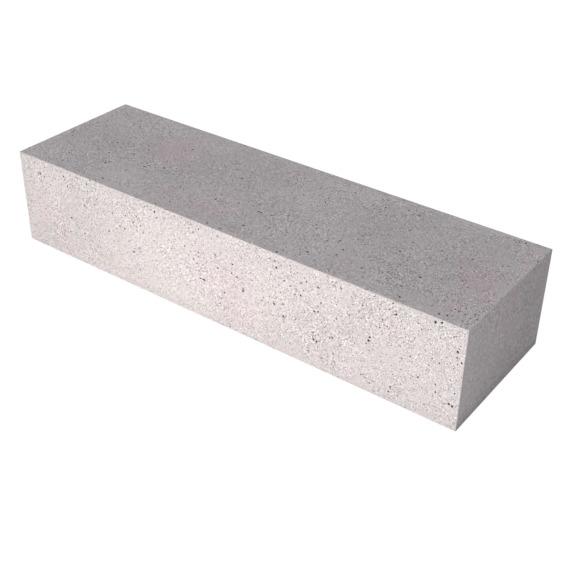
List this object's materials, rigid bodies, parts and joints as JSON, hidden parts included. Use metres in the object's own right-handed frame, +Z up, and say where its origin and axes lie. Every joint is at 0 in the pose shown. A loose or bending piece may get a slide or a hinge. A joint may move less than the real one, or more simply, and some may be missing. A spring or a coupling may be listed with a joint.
{
  "type": "concrete kerb stone",
  "caption": "Rectangular precast concrete kerb stone with square ends and crisp arrises, laid end to end on a bed to edge a road or path.",
  "frame": {"origin": "middle of the bed, the wide face that the kerb lies on", "axes": "+X along the length, +Y from the front face to the back face, +Z up from the bed to the top"},
  "size_m": [1, 0.3, 0.2],
  "materials": {
    "concrete": "pale grey cast concrete, matt, with fine sand speckle and small dark air pores"
  },
  "bodies": {
    "root": {"kerb_stone": "concrete"}
  },
  "joints": []
}
